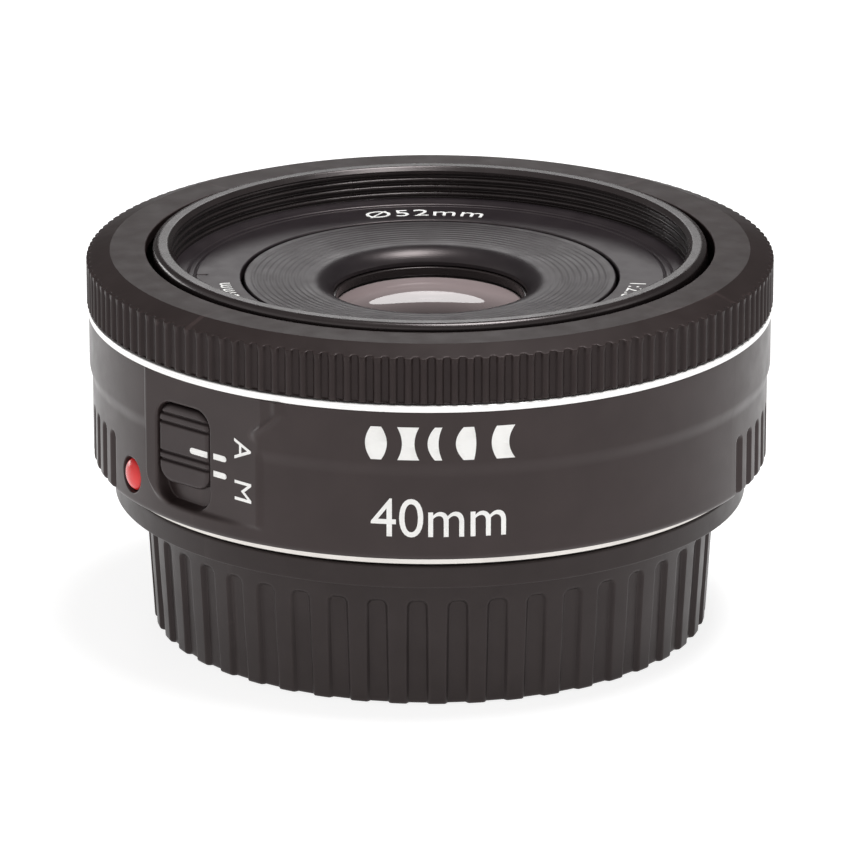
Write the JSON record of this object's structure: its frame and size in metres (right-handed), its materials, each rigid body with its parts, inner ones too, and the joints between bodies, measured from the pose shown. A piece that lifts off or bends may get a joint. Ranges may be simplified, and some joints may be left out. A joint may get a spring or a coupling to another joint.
{
  "type": "prime camera lens",
  "caption": "Slim fixed focal length camera lens with knurled focus ring, sliding focus switch, threaded front barrel, iris inside and a rear dust cap.",
  "frame": {"origin": "centre of the flat face that the rear cap stands on", "axes": "+Z is the optical axis towards the front glass, -Y faces the centre of the top markings"},
  "size_m": [0.0682, 0.0682, 0.0388],
  "materials": {
    "black_polycarbonate": "fine satin moulded texture",
    "focus_ring_plastic": "satin, light wear on the ribs",
    "bright_trim": "bright silver lacquer",
    "red_index": "glossy",
    "frame_plastic": "glass-filled, dull",
    "mount_metal": "turned and plated",
    "screw_steel": "plain",
    "contact_gold": "gold plated",
    "board_laminate": "solder mask",
    "chip_resin": "moulded resin",
    "motor_can": "drawn can",
    "bracket_metal": "stamped",
    "cam_plastic": "acetal",
    "gear_plastic": "acetal",
    "pinion_brass": "cut brass",
    "barrel_black": "satin with a glossy crown",
    "lens_black": "matt, anti-reflection",
    "optical_glass": "coated",
    "blade_film": "dull black film",
    "knob_plastic": "satin",
    "cap_plastic": "dull moulded"
  },
  "bodies": {
    "barrel": {"barrel_cover": "black_polycarbonate", "accent_ring": "bright_trim", "index_dot": "red_index", "main_frame": "frame_plastic", "mount_ring": "mount_metal", "mount_screws": "screw_steel", "contact_block": "frame_plastic", "contact_pins": "contact_gold", "rear_light_cover": "frame_plastic", "circuit_board": "board_laminate", "board_chips": "chip_resin", "board_screws": "screw_steel", "focus_motor": "motor_can", "motor_bracket": "bracket_metal", "bracket_screws": "screw_steel", "gear_axle": "screw_steel", "ring_sensors": "chip_resin", "slide_switch": "chip_resin"},
    "focus_ring": {"focus_ring": "focus_ring_plastic", "encoder_comb": "bracket_metal"},
    "optics": {"filter_barrel": "barrel_black", "name_ring": "lens_black", "front_cone": "lens_black", "front_cell": "frame_plastic", "rear_cell": "frame_plastic", "cell_screws": "screw_steel", "cam_pins": "screw_steel", "front_retainer": "lens_black", "rear_retainer": "lens_black", "front_element": "optical_glass", "second_element": "optical_glass", "third_element": "optical_glass", "fourth_element": "optical_glass", "fifth_element": "optical_glass", "rear_element": "optical_glass", "diaphragm_base": "blade_film", "diaphragm_cover": "blade_film", "diaphragm_motor": "motor_can"},
    "cam_ring": {"cam_ring": "cam_plastic"},
    "reduction_gear": {"reduction_gear": "gear_plastic"},
    "motor_pinion": {"motor_pinion": "pinion_brass"},
    "diaphragm_ring": {"diaphragm_ring": "bracket_metal"},
    "diaphragm_pinion": {"diaphragm_pinion": "pinion_brass"},
    "blade_1": {"blade_1": "blade_film"},
    "blade_2": {"blade_2": "blade_film"},
    "blade_3": {"blade_3": "blade_film"},
    "blade_4": {"blade_4": "blade_film"},
    "blade_5": {"blade_5": "blade_film"},
    "blade_6": {"blade_6": "blade_film"},
    "blade_7": {"blade_7": "blade_film"},
    "switch_knob": {"switch_knob": "knob_plastic"},
    "rear_cap": {"rear_cap": "cap_plastic"}
  },
  "joints": [
    {"name": "focus_ring_turn", "type": "hinge", "parent": "barrel", "child": "focus_ring", "pos_m": [0, 0, 0.035], "axis": [0, 0, 1], "continuous": true},
    {"name": "focus_travel", "type": "slide", "parent": "barrel", "child": "optics", "axis": [0, 0, 1], "range_m": [0, 0.007]},
    {"name": "cam_turn", "type": "hinge", "parent": "barrel", "child": "cam_ring", "pos_m": [0, 0, 0.024], "axis": [0, 0, 1], "range_deg": [0, 70.01]},
    {"name": "reduction_spin", "type": "hinge", "parent": "barrel", "child": "reduction_gear", "pos_m": [0.00739, -0.0203, 0.019], "axis": [0, 0, 1], "range_deg": [-561, 0]},
    {"name": "motor_spin", "type": "hinge", "parent": "barrel", "child": "motor_pinion", "pos_m": [0.01318, -0.01873, 0.0185], "axis": [0, 0, 1], "range_deg": [0, 1121]},
    {"name": "iris_turn", "type": "hinge", "parent": "optics", "child": "diaphragm_ring", "pos_m": [0, 0, 0.0256], "axis": [0, 0, 1], "range_deg": [0, 29]},
    {"name": "iris_motor_spin", "type": "hinge", "parent": "optics", "child": "diaphragm_pinion", "pos_m": [-0.01297, 0.00472, 0.0256], "axis": [0, 0, 1], "range_deg": [-305, 0]},
    {"name": "blade_1_turn", "type": "hinge", "parent": "optics", "child": "blade_1", "pos_m": [0.0109, 0, 0.0248], "axis": [0, 0, 1], "range_deg": [0, 29.1]},
    {"name": "blade_2_turn", "type": "hinge", "parent": "optics", "child": "blade_2", "pos_m": [0.0068, 0.00852, 0.0248], "axis": [0, 0, 1], "range_deg": [0, 29.1]},
    {"name": "blade_3_turn", "type": "hinge", "parent": "optics", "child": "blade_3", "pos_m": [-0.00243, 0.01063, 0.0248], "axis": [0, 0, 1], "range_deg": [0, 29.1]},
    {"name": "blade_4_turn", "type": "hinge", "parent": "optics", "child": "blade_4", "pos_m": [-0.00982, 0.00473, 0.0248], "axis": [0, 0, 1], "range_deg": [0, 29.1]},
    {"name": "blade_5_turn", "type": "hinge", "parent": "optics", "child": "blade_5", "pos_m": [-0.00982, -0.00473, 0.0248], "axis": [0, 0, 1], "range_deg": [0, 29.1]},
    {"name": "blade_6_turn", "type": "hinge", "parent": "optics", "child": "blade_6", "pos_m": [-0.00243, -0.01063, 0.0248], "axis": [0, 0, 1], "range_deg": [0, 29.1]},
    {"name": "blade_7_turn", "type": "hinge", "parent": "optics", "child": "blade_7", "pos_m": [0.0068, -0.00852, 0.0248], "axis": [0, 0, 1], "range_deg": [0, 29.1]},
    {"name": "focus_switch", "type": "slide", "parent": "barrel", "child": "switch_knob", "axis": [0, 0, -1], "range_m": [0, 0.00175]},
    {"name": "cap_twist", "type": "hinge", "parent": "barrel", "child": "rear_cap", "pos_m": [0, 0, 0.01], "axis": [0, 0, -1], "range_deg": [0, 60]}
  ],
  "couplings": [
    {"joint": "cam_turn", "follows": "focus_travel", "rad_per_m": 174.53},
    {"joint": "reduction_spin", "follows": "focus_travel", "rad_per_m": -1396.3},
    {"joint": "motor_spin", "follows": "focus_travel", "rad_per_m": 2792.5},
    {"joint": "iris_motor_spin", "follows": "iris_turn", "ratio": -10.5},
    {"joint": "blade_1_turn", "follows": "iris_turn", "ratio": 1},
    {"joint": "blade_2_turn", "follows": "iris_turn", "ratio": 1},
    {"joint": "blade_3_turn", "follows": "iris_turn", "ratio": 1},
    {"joint": "blade_4_turn", "follows": "iris_turn", "ratio": 1},
    {"joint": "blade_5_turn", "follows": "iris_turn", "ratio": 1},
    {"joint": "blade_6_turn", "follows": "iris_turn", "ratio": 1},
    {"joint": "blade_7_turn", "follows": "iris_turn", "ratio": 1}
  ]
}
